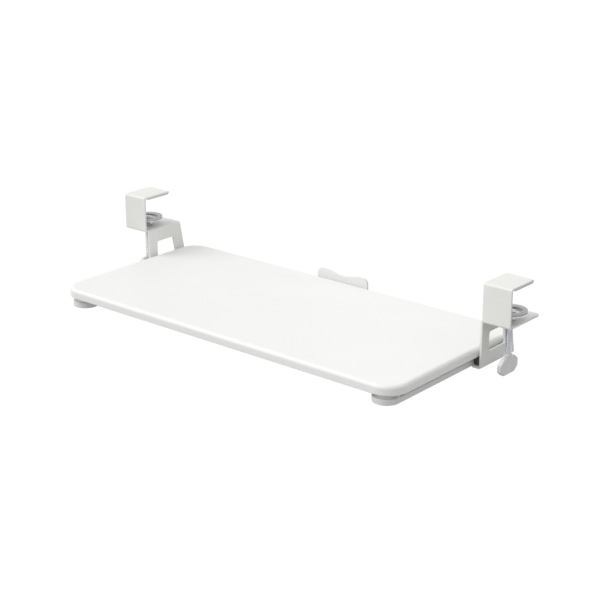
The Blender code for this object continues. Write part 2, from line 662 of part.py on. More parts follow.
def clamp_screw(side, sign, finish, axis):
    """Tail in the knob, threaded shank, neck through the pad, and the riveted end."""
    profile = [
        (0, SHANK_BOTTOM - SCREW_TAIL_LENGTH), (SCREW_TAIL_RADIUS, SHANK_BOTTOM - SCREW_TAIL_LENGTH),
        (SCREW_TAIL_RADIUS, SHANK_BOTTOM), (SCREW_RADIUS, SHANK_BOTTOM), (SCREW_RADIUS, SHANK_TOP),
        (SCREW_NECK_RADIUS, SHANK_TOP), (SCREW_NECK_RADIUS, RIVET_BOTTOM), (SCREW_RIVET_RADIUS, RIVET_BOTTOM),
        (SCREW_RIVET_RADIUS, RIVET_BOTTOM + SCREW_RIVET_HEIGHT), (0, RIVET_BOTTOM + SCREW_RIVET_HEIGHT),
    ]
    place = Matrix.Translation((sign * SCREW_X, SCREW_Y, 0))
    piece(f"clamp_screw_{side}", moved(turned(profile, 24), place), finish, axis)


def knob_outline(inset):
    """The paddle seen along X, drawn in by an inset, about the screw's axis."""
    half = KNOB_WIDTH / 2 - inset
    run = KNOB_CORNER_RUN
    top, bottom = KNOB_TOP - inset, KNOB_BOTTOM + inset
    rise = KNOB_CORNER_RISE
    return [(-half, bottom + rise), (-half + run, bottom), (half - run, bottom), (half, bottom + rise),
            (half, top - rise), (half - run, top), (-half + run, top), (-half, top - rise)]


def knob(side, sign, finish, axis):
    """Eight-sided paddle with a collar on top, moulded round the screw's tail."""
    half = KNOB_THICKNESS / 2
    sections = [(-half, KNOB_EDGE_ROUNDING), (-half + KNOB_EDGE_ROUNDING, 0), (half - KNOB_EDGE_ROUNDING, 0),
                (half, KNOB_EDGE_ROUNDING)]
    paddle = lofted([[(x, y, z) for y, z in knob_outline(inset)] for x, inset in sections])
    place = Matrix.Translation((sign * SCREW_X, SCREW_Y, 0))
    made = piece(f"knob_{side}", moved(paddle, place), finish, axis)
    hole = SCREW_TAIL_RADIUS + SEAT_GAP
    inside = KNOB_TOP - OVERCUT
    collar = turned([(0, inside), (half - KNOB_EDGE_ROUNDING, inside), (COLLAR_RADIUS, KNOB_TOP + OVERCUT),
                     (COLLAR_RADIUS, COLLAR_TOP), (0, COLLAR_TOP)])
    join(made, moved(collar, place.copy()), "collar")
    hole_bottom = SHANK_BOTTOM - SCREW_TAIL_LENGTH - SEAT_GAP
    hole_top = COLLAR_TOP + OVERCUT
    bore = turned([(0, hole_bottom), (hole, hole_bottom), (hole, hole_top), (0, hole_top)], SCREW_STEPS)
    cut(made, moved(bore, place.copy()), "bore")


# ---------------------------------------------------------------- assembly

def main():
    for old in list(bpy.data.objects):
        bpy.data.objects.remove(old, do_unlink=True)

    laminate = material("white_laminate", (0.88, 0.88, 0.87), 0.45)
    moulded = material("light_grey_plastic", (0.62, 0.62, 0.61), 0.5)
    coated = material("white_powder_coat", (0.80, 0.81, 0.78), 0.5)
    acetal = material("dark_grey_acetal", (0.06, 0.06, 0.06), 0.45)
    zinc = material("zinc_plated_steel", (0.62, 0.62, 0.68), 0.3, 1.0)
    rubber = material("grey_rubber", (0.42, 0.42, 0.41), 0.7)

    tray = pivot("tray", (0, 0, BOARD_TOP))
    board(laminate, tray)
    rails(moulded, zinc, tray)
    end_caps(moulded, zinc, tray)
    rear_stop(moulded, zinc, tray)

    brackets(coated)
    shoes(acetal, zinc)
    liners(rubber)
    clamp_nuts(zinc)

    for side, sign in (("right", 1), ("left", -1)):
        axis = pad(side, sign, zinc, rubber, zinc)
        clamp_screw(side, sign, zinc, axis)
        knob(side, sign, moulded, axis)


main()
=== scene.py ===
"""Looks of the clamp-on keyboard tray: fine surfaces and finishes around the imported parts.

Every part is remade here with its real edges, threads and recesses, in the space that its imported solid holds.
Pieces on the +X side are made first and mirrored for the -X side. Lengths are in metres.
"""

import json
import math

import bmesh
import bpy
from mathutils import Matrix, Vector

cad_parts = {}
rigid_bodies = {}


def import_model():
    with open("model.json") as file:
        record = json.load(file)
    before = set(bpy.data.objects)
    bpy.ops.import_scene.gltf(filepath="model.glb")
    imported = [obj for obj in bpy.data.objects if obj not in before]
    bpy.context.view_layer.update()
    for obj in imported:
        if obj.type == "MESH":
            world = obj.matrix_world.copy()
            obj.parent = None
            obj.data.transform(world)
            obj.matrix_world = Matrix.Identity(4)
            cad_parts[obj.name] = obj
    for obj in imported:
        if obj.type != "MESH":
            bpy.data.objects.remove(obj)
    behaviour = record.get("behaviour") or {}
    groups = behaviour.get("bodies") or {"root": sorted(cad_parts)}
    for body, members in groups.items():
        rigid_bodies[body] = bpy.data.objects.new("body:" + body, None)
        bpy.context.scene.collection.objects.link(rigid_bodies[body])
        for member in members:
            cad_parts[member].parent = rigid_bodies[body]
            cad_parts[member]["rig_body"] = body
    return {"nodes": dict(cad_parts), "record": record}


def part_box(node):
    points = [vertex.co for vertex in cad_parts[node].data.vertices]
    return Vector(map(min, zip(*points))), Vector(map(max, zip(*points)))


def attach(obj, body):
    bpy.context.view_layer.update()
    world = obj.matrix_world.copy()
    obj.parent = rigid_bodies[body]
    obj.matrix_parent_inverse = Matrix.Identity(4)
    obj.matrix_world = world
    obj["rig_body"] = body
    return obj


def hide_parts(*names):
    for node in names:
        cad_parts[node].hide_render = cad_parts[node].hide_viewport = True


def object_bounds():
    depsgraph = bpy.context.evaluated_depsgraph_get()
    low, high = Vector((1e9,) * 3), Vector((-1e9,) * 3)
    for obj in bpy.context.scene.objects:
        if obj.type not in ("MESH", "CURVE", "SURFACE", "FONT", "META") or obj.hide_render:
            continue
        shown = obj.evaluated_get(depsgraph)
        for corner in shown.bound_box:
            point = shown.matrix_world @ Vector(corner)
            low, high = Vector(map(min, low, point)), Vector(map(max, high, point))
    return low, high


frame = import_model()
CAD_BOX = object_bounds()

MM = 0.001
EDGE_STEPS = 5                 # facets across a rounded edge
SIDES = ("right", "left")

# Board
BOARD_CORNER = 32 * MM
BOARD_TOP_ROUNDING = 6 * MM
BOARD_BOTTOM_ROUNDING = 1.5 * MM

# Rails and their end caps
RAIL_FLANGE = 8.3 * MM
RAIL_NECK_WIDTH = 28 * MM
RAIL_LUG_SETBACK = 20 * MM
RAIL_LUG_LENGTH = 6 * MM
RAIL_LUG_INSET = 1 * MM
LUG_TOP_GAP = 0.3 * MM
LUG_CORNER = 0.5 * MM
MOULDED_EDGE = 0.7 * MM
MATING_EDGE = 0.3 * MM         # where a moulded part meets the board

# Brackets
SHEET = 3.0 * MM
BEND_RADIUS = 0.5 * MM
JAW_WIDTH = 45.8 * MM
JAW_GAP = 1.3 * MM
WEB_SETBACK = 3.8 * MM
JAW_HEIGHT = 59.5 * MM
TOP_PLATE_DEPTH = 57.3 * MM
BOTTOM_PLATE_DEPTH = 77.4 * MM
PLATE_CORNER = 4 * MM
TOP_PLATE_CORNER = 1.5 * MM
WINDOW_FRONT_LEG = 18.8 * MM
WINDOW_REAR_LEG = 21 * MM
WINDOW_TOP_BAND = 19.3 * MM
WINDOW_BOTTOM_BAND = 22.5 * MM
WINDOW_CORNER = 3 * MM
SHEET_EDGE = 0.45 * MM
FIT_GAP = 0.3 * MM
LINER_EDGE = 0.25 * MM         # below, towards the desk
LINER_TOP_EDGE = 0.1 * MM

# Slider shoes
SHOE_TONGUE_THICKNESS = 6.4 * MM
SHOE_TONGUE_ROUNDING = 2 * MM
SHOE_CORNER = 0.8 * MM
SHOE_EDGE = 0.4 * MM

# Clamp screws and pads
THREAD_PITCH = 1.5 * MM
THREAD_DEPTH = 0.85 * MM
SHANK_LENGTH = 60.5 * MM
NECK_RADIUS = 3.0 * MM
TAIL_RADIUS = 2.2 * MM
TAIL_LENGTH = 20 * MM
RIVET_RADIUS = 4.4 * MM
RIVET_HEIGHT = 0.8 * MM
RIVET_CROWN = 0.7 * MM         # height of its domed edge
RIVET_SPREAD = 1.6             # of the dome's width to its height
RING_HOLE_RADIUS = 17.2 * MM
WASHER_HOLE_RADIUS = 3.3 * MM
NUT_BORE_RADIUS = 5.2 * MM
NUT_BUSH_RADIUS = 7.2 * MM
NUT_COLLAR_HEIGHT = 2.5 * MM
TURNED_EDGE = 0.5 * MM
PRESSED_EDGE = 0.6 * MM
WASHER_EDGE = 0.3 * MM
CUP_SLOPE = 0.8 * MM           # of the cup's wall where the ring's hole ends
CUP_SLOPE_DROP = 0.5 * MM
CUP_DISH = 0.62                # of the cup's radius, where its floor is lowest
CUP_DISH_DROP = 0.6 * MM
CUP_FLAT = 6 * MM              # around the washer
THREAD_RUNOUT = 1.2 * MM
THREAD_END = 0.2 * MM          # plain, at each end of the thread
TAIL_CHAMFER = 0.4 * MM

# Knobs
KNOB_HEIGHT = 25 * MM
KNOB_THICKNESS = 7 * MM
KNOB_CORNER_RUN = 8.5 * MM
KNOB_CORNER_RISE = 7 * MM
KNOB_CORNER_ROUNDING = 4 * MM
KNOB_EDGE = 1.3 * MM
COLLAR_RADIUS = 5.4 * MM
COLLAR_CHAMFER = 0.5 * MM
COLLAR_ROOT_INSET = 0.8 * MM   # of the collar's root inside the paddle
COLLAR_SINK = 0.4 * MM         # of the flare below the paddle's top
COLLAR_FLARE = 0.6 * MM
COLLAR_FLARE_HEIGHT = 1.4 * MM

# Rear stop
STOP_THICKNESS = 3 * MM
STOP_HUMP_OFFSET = 35 * MM
STOP_VALLEY_DROP = 5.1 * MM
STOP_CORNER = 9 * MM
STOP_EDGE = 0.9 * MM
STOP_FOOT_TOP_EDGE = 0.2 * MM

# Countersunk screws
WOOD_SCREW_HEAD = 3.6 * MM
WOOD_SCREW_SHANK = 1.9 * MM
WOOD_SCREW_CORE = 1.35 * MM
WOOD_SCREW_THREAD = 0.5 * MM
WOOD_SCREW_PITCH = 1.6 * MM
WOOD_SCREW_HEAD_HEIGHT = 2.2 * MM
WOOD_SCREW_EDGE = 0.15 * MM
WOOD_SCREW_BAND = 0.35 * MM    # up to where the head starts to narrow
WOOD_SCREW_RUNOUT = 1.0 * MM
WOOD_SCREW_POINT = 2.6 * MM    # from the end of the thread to the tip
WOOD_SCREW_TIP = 1.0 * MM
WOOD_SCREW_TIP_SHARE = 0.6     # of the core's radius, where the tip starts
WOOD_SCREW_TIP_RADIUS = 0.15 * MM
RECESS_ARM = 1.9 * MM
RECESS_WIDTH = 0.75 * MM
RECESS_DEPTH = 1.5 * MM

OVERCUT = 1 * MM

# View and studio
CAMERA_PLACE = (1.3990, -1.6649, 0.6779)
CAMERA_AZIMUTH = 40.05
CAMERA_ELEVATION = 19.62
CAMERA_LENS = 90.07
CAMERA_SENSOR = 36
FLOOR_DROP = 1.5
FLOOR_REACH = 30
FLOOR_GLOW = 0.06
SKY_LIGHT = 0.80
GROUND_LIGHT = 0.30
HORIZON_BLEND = 0.3
KEY_STRENGTH = 1.46
KEY_ANGLE = 50
KEY_DIRECTION = (0.35, 0.36, -0.4)
GLINT_PLACE = (-1.47, 2.19, 0.97)
GLINT_SIZE = 0.3
GLINT_POWER = 0.65


# ---------------------------------------------------------------- outlines

def arc(centre_u, centre_v, radius, start, end, steps):
    """Points of an arc from one angle to another, in degrees."""
    angles = [math.radians(start + (end - start) * i / steps) for i in range(steps + 1)]
    return [(centre_u + radius * math.cos(a), centre_v + radius * math.sin(a)) for a in angles]


def rectangle(low_u, low_v, high_u, high_v):
    return [(low_u, low_v), (high_u, low_v), (high_u, high_v), (low_u, high_v)]


def rounded_polygon(corners, radius, steps=8):
    """A counter-clockwise convex outline whose corners are replaced by arcs."""
    outline = []
    count = len(corners)
    for i, corner in enumerate(corners):
        here = Vector(corner)
        before = (Vector(corners[i - 1]) - here).normalized()
        after = (Vector(corners[(i + 1) % count]) - here).normalized()
        half_angle = before.angle(after) / 2
        centre = here + (before + after).normalized() * radius / math.sin(half_angle)
        start = here + before * radius / math.tan(half_angle)
        end = here + after * radius / math.tan(half_angle)
        first = math.atan2(start.y - centre.y, start.x - centre.x)
        turn = (math.atan2(end.y - centre.y, end.x - centre.x) - first) % math.tau
        outline += arc(centre.x, centre.y, radius, math.degrees(first), math.degrees(first + turn), steps)
    return outline


def drawn_in(outline, inset):
    """A counter-clockwise outline moved inwards, each point along its corner's bisector."""
    result = []
    count = len(outline)
    for i, point in enumerate(outline):
        before = (Vector(point) - Vector(outline[i - 1])).normalized()
        after = (Vector(outline[(i + 1) % count]) - Vector(point)).normalized()
        inward = Vector((-before.y - after.y, before.x + after.x)).normalized()
        reach = inset / max(0.3, inward.dot(Vector((-after.y, after.x))))
        result.append((point[0] + inward.x * reach, point[1] + inward.y * reach))
    return result


def bent_strip(path, thickness, bend_radius, steps=10):
    """The closed outline of a sheet folded along a centreline path, with round bends."""
    middle_radius = bend_radius + thickness / 2
    left, right = [], []

    def offset(point, normal):
        left.append(tuple(point + normal * thickness / 2))
        right.append(tuple(point - normal * thickness / 2))

    points = [Vector(p) for p in path]
    directions = [(b - a).normalized() for a, b in zip(points, points[1:])]
    offset(points[0], Vector((-directions[0].y, directions[0].x)))
    for corner, before, after in zip(points[1:], directions, directions[1:]):
        turn = before.angle_signed(after) * -1
        side = math.copysign(1.0, turn)
        reach = middle_radius * math.tan(abs(turn) / 2)
        normal = Vector((-before.y, before.x)) * side
        centre = corner - before * reach + normal * middle_radius
        for i in range(steps + 1):
            spoke = Matrix.Rotation(turn * i / steps, 2) @ (-normal)
            offset(centre + spoke * middle_radius, -spoke * side)
    offset(points[-1], Vector((-directions[-1].y, directions[-1].x)))
    return left + right[::-1]


# ---------------------------------------------------------------- solids

def lofted(loops):
    """A closed bmesh through stacked loops of equal length, each a list of (x, y, z)."""
    bm = bmesh.new()
    rings = [[bm.verts.new(point) for point in loop] for loop in loops]
    count = len(rings[0])
    for lower, upper in zip(rings, rings[1:]):
        for i in range(count):
            j = (i + 1) % count
            bm.faces.new((lower[i], lower[j], upper[j], upper[i]))
    bm.faces.new(rings[0][::-1])
    bm.faces.new(rings[-1])
    bmesh.ops.recalc_face_normals(bm, faces=bm.faces)
    return bm


def placed(axis, u, v, w):
    return {"X": (w, u, v), "Y": (u, w, v), "Z": (u, v, w)}[axis]


def edge_steps(low, high, low_edge, high_edge, steps=EDGE_STEPS):
    """(inset, height) pairs that round off a prism's two ends."""
    pairs = []
    for i in range(steps + 1):
        angle = math.pi / 2 * i / steps
        pairs.append((low_edge * (1 - math.sin(angle)), low + low_edge * (1 - math.cos(angle))))
    for i in range(steps + 1):
        angle = math.pi / 2 * i / steps
        pairs.append((high_edge * (1 - math.cos(angle)), high - high_edge * (1 - math.sin(angle))))
    return pairs


def prism(outline, axis, low, high, low_edge=0.0, high_edge=0.0):
    """A bmesh that extrudes an outline, drawn on the other two axes, and rounds the edges of its ends."""
    pairs = edge_steps(low, high, low_edge, high_edge) if low_edge or high_edge else [(0, low), (0, high)]
    return lofted([[placed(axis, u, v, w) for u, v in drawn_in(outline, inset)] for inset, w in pairs])


def turned(profile, steps=64):
    """A bmesh turned about Z from a closed profile of (radius, height) points."""
    bm = bmesh.new()
    rings = []
    for radius, height in profile:
        if radius == 0:
            rings.append([bm.verts.new((0, 0, height))] * steps)
            continue
        angles = [math.tau * i / steps for i in range(steps)]
        rings.append([bm.verts.new((radius * math.cos(a), radius * math.sin(a), height)) for a in angles])
    for inner, outer in zip(rings, rings[1:] + rings[:1]):
        for i in range(steps):
            j = (i + 1) % steps
            corners = list(dict.fromkeys((inner[i], inner[j], outer[j], outer[i])))
            if len(corners) > 2:
                bm.faces.new(corners)
    bmesh.ops.recalc_face_normals(bm, faces=bm.faces)
    return bm


def softened(profile, radius, steps=4):
    """A turned profile whose corners away from the axis are rounded, each within its own short sides."""
    result = []
    count = len(profile)
    for i, point in enumerate(profile):
        here = Vector(point)
        before = Vector(profile[i - 1]) - here
        after = Vector(profile[(i + 1) % count]) - here
        if point[0] == 0 or before.length == 0 or after.length == 0:
            result.append(point)
            continue
        reach = min(radius, 0.45 * before.length, 0.45 * after.length)
        start = here + before.normalized() * reach
        end = here + after.normalized() * reach
        for k in range(steps + 1):
            t = k / steps
            result.append(tuple(start * (1 - t) ** 2 + here * 2 * t * (1 - t) + end * t * t))
    return result


def threaded(low, high, crest, depth, pitch, runout, columns=40, rows_per_turn=10):
    """The rings of a screw thread between two heights, which fades out over its ends, as (x, y, z) loops."""
    rows = max(2, round((high - low) / pitch * rows_per_turn))
    loops = []
    for r in range(rows + 1):
        z = low + (high - low) * r / rows
        fade = min(1.0, (z - low) / runout, (high - z) / runout)
        loop = []
        for c in range(columns):
            phase = (z / pitch - c / columns) % 1.0
            flank = min(1.0, max(0.0, 2.6 * abs(phase - 0.5) - 0.2))
            radius = crest - depth * (1 - fade) - depth * fade * flank
            angle = math.tau * c / columns
            loop.append((radius * math.cos(angle), radius * math.sin(angle), z))
        loops.append(loop)
    return loops


def ring_loop(radius, height, columns=40):
    angles = [math.tau * c / columns for c in range(columns)]
    return [(radius * math.cos(a), radius * math.sin(a), height) for a in angles]


def moved(bm, matrix):
    bmesh.ops.transform(bm, matrix=matrix, verts=bm.verts)
    return bm


def combined(bm, other, operation):
    """The Boolean of two closed bmeshes, as a new bmesh."""
    objects = []
    for number, source in enumerate((bm, other)):
        mesh = bpy.data.meshes.new(f"boolean_{number}")
        source.to_mesh(mesh)
        source.free()
        made = bpy.data.objects.new(f"boolean_{number}", mesh)
        bpy.context.scene.collection.objects.link(made)
        objects.append(made)
    modifier = objects[0].modifiers.new("boolean", "BOOLEAN")
    modifier.operation = operation
    modifier.solver = "EXACT"
    modifier.object = objects[1]
    result = bmesh.new()
    result.from_mesh(evaluated_mesh(objects[0]))
    for made in objects:
        mesh = made.data
        bpy.data.objects.remove(made)
        bpy.data.meshes.remove(mesh)
    return result


def evaluated_mesh(source):
    bpy.context.view_layer.update()
    return source.evaluated_get(bpy.context.evaluated_depsgraph_get()).to_mesh()


def union(bm, other):
    return combined(bm, other, "UNION")


def without(bm, other):
    return combined(bm, other, "DIFFERENCE")


def bevelled(bm, width, sharper_than=40, segments=3):
    """Rounds every edge whose faces meet at more than an angle."""
    bmesh.ops.remove_doubles(bm, verts=bm.verts, dist=0.005 * MM)
    bmesh.ops.dissolve_limit(bm, angle_limit=math.radians(0.5), verts=bm.verts, edges=bm.edges)
    limit = math.radians(sharper_than)
    edges = [e for e in bm.edges if len(e.link_faces) == 2 and e.calc_face_angle() > limit]
    bmesh.ops.bevel(bm, geom=edges, offset=width, offset_type="OFFSET", segments=segments, profile=0.5,
                    affect="EDGES", clamp_overlap=True)
    return bm


# ---------------------------------------------------------------- pieces

NODE_SLOTS = {part["node"]: part["material_slot"] for part in frame["record"]["subparts"]}
finishes = {}


def piece(node, bm, origin=(0, 0, 0), smooth_below=32):
    """Adds a bmesh, drawn in the part's frame, as the finished surface of a CAD node."""
    place = Vector(origin)
    moved(bm, Matrix.Translation(-place))
    mesh = bpy.data.meshes.new(f"fine_{node}")
    bm.to_mesh(mesh)
    bm.free()
    mesh.materials.append(finishes[NODE_SLOTS[node]])
    mesh.shade_smooth()
    mesh.set_sharp_from_angle(angle=math.radians(smooth_below))
    made = bpy.data.objects.new(f"fine_{node}", mesh)
    made.location = place
    bpy.context.scene.collection.objects.link(made)
    normals = made.modifiers.new("weighted_normals", "WEIGHTED_NORMAL")
    normals.keep_sharp = True
    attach(made, frame["nodes"][node]["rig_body"])
    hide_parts(node)
    return made


def mirrored(source, node):
    """The -X twin of a finished piece."""
    bm = bmesh.new()
    bm.from_mesh(source.data)
    mirror = Matrix.Scale(-1, 4, (1, 0, 0))
    moved(bm, mirror @ Matrix.Translation(source.location))
    bmesh.ops.reverse_faces(bm, faces=bm.faces)
    return piece(node, bm, mirror @ Vector(source.location))


# ---------------------------------------------------------------- tray

def board():
    low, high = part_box("board")
    plan = rounded_polygon(rectangle(low.x, low.y, high.x, high.y), BOARD_CORNER, 24)
    pairs = edge_steps(low.z, high.z, BOARD_BOTTOM_ROUNDING, BOARD_TOP_ROUNDING, 12)
    loops = []
    for inset, z in pairs:
        loops.append([(x, y, z) for x, y in drawn_in(plan, inset)])
    piece("board", lofted(loops))


def rail_plan(low, high, inset):
    """A strip along Y with a half-round front end and a flat rear end."""
    half = (high.x - low.x) / 2
    middle = (low.x + high.x) / 2
    front = low.y + half
    outline = arc(middle, front, half - inset, 180, 360, 40)
    return outline + [(middle + half - inset, high.y), (middle - half + inset, high.y)]


def rails():
    """Wide flange with rounded edges, narrow neck, and the stop lug in the outer groove."""
    low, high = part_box("rail_right")
    neck_inset = ((high.x - low.x) - RAIL_NECK_WIDTH) / 2
    groove = low.z + RAIL_FLANGE
    loops = []
    for inset, z in edge_steps(low.z, groove, MOULDED_EDGE, MOULDED_EDGE):
        loops.append([(x, y, z) for x, y in rail_plan(low, high, inset)])
    for z in (groove, high.z):
        loops.append([(x, y, z) for x, y in rail_plan(low, high, neck_inset)])
    lug_front = low.y + RAIL_LUG_SETBACK
    lug = rectangle(high.x - neck_inset - OVERCUT, lug_front,
                    high.x - RAIL_LUG_INSET, lug_front + RAIL_LUG_LENGTH)
    lug_solid = prism(rounded_polygon(lug, LUG_CORNER, 4), "Z", groove - OVERCUT, high.z - LUG_TOP_GAP)
    right = piece("rail_right", union(lofted(loops), lug_solid))
    mirrored(right, "rail_left")


def end_caps():
    low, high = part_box("rail_cap_right")
    half = (high.x - low.x) / 2
    middle = (low.x + high.x) / 2
    centre = high.y - half
    reach = math.degrees(math.asin((low.y - centre) / half))
    plan = arc(middle, centre, half, reach, 180 - reach, 40)
    right = piece("rail_cap_right", prism(plan, "Z", low.z, high.z, MOULDED_EDGE, MATING_EDGE))
    mirrored(right, "rail_cap_left")


def stop_outline(low, high):
    """The rear stop seen from the front: two humps with a valley between them."""
    half = (high.x - low.x) / 2
    flat_end = half - STOP_CORNER
    middle = high.z - STOP_VALLEY_DROP / 2
    steps = 36
    right = arc(flat_end, high.z - STOP_CORNER, STOP_CORNER, 0, 90, 16)
    for i in range(steps + 1):
        x = STOP_HUMP_OFFSET * (1 - i / steps)
        right.append((x, middle - STOP_VALLEY_DROP / 2 * math.cos(math.pi * x / STOP_HUMP_OFFSET)))
    left = [(-x, z) for x, z in right[-2::-1]]
    return [(-half, low.z), (half, low.z)] + right + left


def rear_stop():
    low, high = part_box("rear_stop")
    front = high.y - STOP_THICKNESS
    plate = prism(stop_outline(low, high), "Y", front, high.y, STOP_EDGE, STOP_EDGE)
    foot_plan = rectangle(low.x, low.y, high.x, high.y - STOP_THICKNESS / 2)
    foot = prism(foot_plan, "Z", low.z, low.z + STOP_THICKNESS, MOULDED_EDGE, STOP_FOOT_TOP_EDGE)
    piece("rear_stop", union(plate, foot))


# ---------------------------------------------------------------- clamp brackets

def corner_waste(corner_x, corner_y, radius):
    """What lies outside a rounded corner that points towards +X and +Y."""
    centre_x, centre_y = corner_x - radius, corner_y - radius
    beyond_x, beyond_y = corner_x + OVERCUT, corner_y + OVERCUT
    return arc(centre_x, centre_y, radius, 0, 90, 10) + [
        (centre_x, beyond_y), (beyond_x, beyond_y), (beyond_x, centre_y)]


def brackets():
    """One bent sheet a side, its cut edges softened by the coating."""
    low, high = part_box("bracket_right")
    half = SHEET / 2
    jaw_inner = high.x - JAW_WIDTH
    web_outer = jaw_inner - JAW_GAP
    web_inner = web_outer - SHEET
    web_front = low.y + WEB_SETBACK
    jaw_bottom = high.z - JAW_HEIGHT
    jaw_floor = jaw_bottom + SHEET
    plate_rear = low.y + BOTTOM_PLATE_DEPTH
    overlap = BEND_RADIUS + SHEET
    path = [(low.x, low.z + half), (web_inner + half, low.z + half), (web_inner + half, jaw_bottom + half),
            (web_outer + overlap, jaw_bottom + half)]
    sheet = prism(bent_strip(path, SHEET, BEND_RADIUS), "Y", web_front, high.y + OVERCUT)

    behind = high.y + 2 * OVERCUT
    slope = [(plate_rear, jaw_floor + OVERCUT), (plate_rear, jaw_bottom), (high.y, low.z),
             (high.y, low.z - OVERCUT), (behind, low.z - OVERCUT), (behind, jaw_floor + OVERCUT)]
    sheet = without(sheet, prism(slope[::-1], "X", low.x - OVERCUT, high.x))

    jaw_path = [(low.y + TOP_PLATE_DEPTH, high.z - half), (low.y + half, high.z - half),
                (low.y + half, jaw_bottom + half), (plate_rear, jaw_bottom + half)]
    sheet = union(sheet, prism(bent_strip(jaw_path, SHEET, BEND_RADIUS), "X", jaw_inner, high.x))

    def web_rear(z):
        return plate_rear + (high.y - plate_rear) * (jaw_bottom - z) / (jaw_bottom - low.z)

    top = jaw_bottom - WINDOW_TOP_BAND
    bottom = low.z + WINDOW_BOTTOM_BAND
    window = [(web_front + WINDOW_FRONT_LEG, bottom), (web_rear(bottom) - WINDOW_REAR_LEG, bottom),
              (web_rear(top) - WINDOW_REAR_LEG, top), (web_front + WINDOW_FRONT_LEG, top)]
    window = rounded_polygon(window, WINDOW_CORNER, 8)
    sheet = without(sheet, prism(window, "X", web_inner - OVERCUT, web_outer + OVERCUT))
    plate_corner = corner_waste(high.x, plate_rear, PLATE_CORNER)
    sheet = without(sheet, prism(plate_corner, "Z", jaw_bottom - OVERCUT, jaw_floor + OVERCUT))
    top_corner = corner_waste(high.x, low.y + TOP_PLATE_DEPTH, TOP_PLATE_CORNER)
    sheet = without(sheet, prism(top_corner, "Z", high.z - SHEET - OVERCUT, high.z + OVERCUT))

    axis = screw_axis("right")
    bush_hole = NUT_BUSH_RADIUS + FIT_GAP
    beyond = SHEET + OVERCUT
    hole = turned([(0, -OVERCUT), (bush_hole, -OVERCUT), (bush_hole, beyond), (0, beyond)])
    sheet = without(sheet, moved(hole, Matrix.Translation((axis.x, axis.y, jaw_bottom))))
    head_hole = WOOD_SCREW_HEAD + FIT_GAP
    shank_hole = WOOD_SCREW_SHANK + FIT_GAP
    for number in (1, 2):
        head_low, head_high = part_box(f"shoe_screw_right_{number}")
        centre = (head_low + head_high) / 2
        seat = turned([(0, -OVERCUT), (head_hole, -OVERCUT), (head_hole, FIT_GAP),
                       (shank_hole, WOOD_SCREW_HEAD_HEIGHT + FIT_GAP), (shank_hole, beyond), (0, beyond)], 32)
        sheet = without(sheet, moved(seat, Matrix.Translation((centre.x, centre.y, low.z))))
    right = piece("bracket_right", bevelled(sheet, SHEET_EDGE))
    mirrored(right, "bracket_left")


def shoes():
    """Sliding blocks with a tongue in the rail's groove."""
    low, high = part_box("slider_shoe_right")
    foot_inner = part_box("bracket_right")[0].x
    body = rounded_polygon(rectangle(foot_inner, low.y, high.x, high.y), SHOE_CORNER, 4)
    block = prism(body, "Z", low.z, high.z, SHOE_EDGE, SHOE_EDGE)
    tongue_plan = rectangle(low.x, low.y, foot_inner + SHEET, high.y)
    tongue = prism(rounded_polygon(tongue_plan, SHOE_TONGUE_ROUNDING, 8), "Z",
                   high.z - SHOE_TONGUE_THICKNESS, high.z, SHOE_EDGE, SHOE_EDGE)
    right = piece("slider_shoe_right", union(block, tongue))
    mirrored(right, "slider_shoe_left")


def liners():
    low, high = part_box("jaw_liner_right")
    plan = rounded_polygon(rectangle(low.x, low.y, high.x, high.y), TOP_PLATE_CORNER, 8)
    right = piece("jaw_liner_right", prism(plan, "Z", low.z, high.z, LINER_EDGE, LINER_TOP_EDGE))
    mirrored(right, "jaw_liner_left")


def clamp_nuts():
    low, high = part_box("clamp_nut_right")
    collar = (high.x - low.x) / 2
    seat = high.z - NUT_COLLAR_HEIGHT
    profile = [(NUT_BORE_RADIUS, low.z), (NUT_BUSH_RADIUS, low.z), (NUT_BUSH_RADIUS, seat), (collar, seat),
               (collar, high.z), (NUT_BORE_RADIUS, high.z)]
    axis = screw_axis("right")
    nut = moved(turned(softened(profile, TURNED_EDGE)), Matrix.Translation((axis.x, axis.y, 0)))
    right = piece("clamp_nut_right", nut, (axis.x, axis.y, 0))
    mirrored(right, "clamp_nut_left")


# ---------------------------------------------------------------- clamp screws, pads and knobs

def screw_axis(side):
    low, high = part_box(f"clamp_screw_{side}")
    return Vector(((low.x + high.x) / 2, (low.y + high.y) / 2, 0))


def pads(side):
    """Pressed steel cup, rubber ring on its rim, and the washer that the screw is riveted over."""
    axis = screw_axis(side)
    place = Matrix.Translation(axis)
    low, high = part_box(f"pad_cup_{side}")
    radius = (high.x - low.x) / 2
    dish = radius * CUP_DISH
    cup = [(WASHER_HOLE_RADIUS, low.z), (radius, low.z), (radius, high.z), (RING_HOLE_RADIUS, high.z),
           (RING_HOLE_RADIUS - CUP_SLOPE, high.z - CUP_SLOPE_DROP), (dish, high.z - CUP_DISH_DROP),
           (WASHER_HOLE_RADIUS + CUP_FLAT, high.z), (WASHER_HOLE_RADIUS, high.z)]
    piece(f"pad_cup_{side}", moved(turned(softened(cup, PRESSED_EDGE), 96), place), axis)

    low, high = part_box(f"pad_ring_{side}")
    radius = (high.x - low.x) / 2
    ring = [(RING_HOLE_RADIUS, low.z), (radius, low.z), (radius, high.z), (RING_HOLE_RADIUS, high.z)]
    piece(f"pad_ring_{side}", moved(turned(softened(ring, PRESSED_EDGE), 96), place), axis)

    low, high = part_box(f"pad_washer_{side}")
    radius = (high.x - low.x) / 2
    washer = [(WASHER_HOLE_RADIUS, low.z), (radius, low.z), (radius, high.z), (WASHER_HOLE_RADIUS, high.z)]
    piece(f"pad_washer_{side}", moved(turned(softened(washer, WASHER_EDGE)), place), axis)


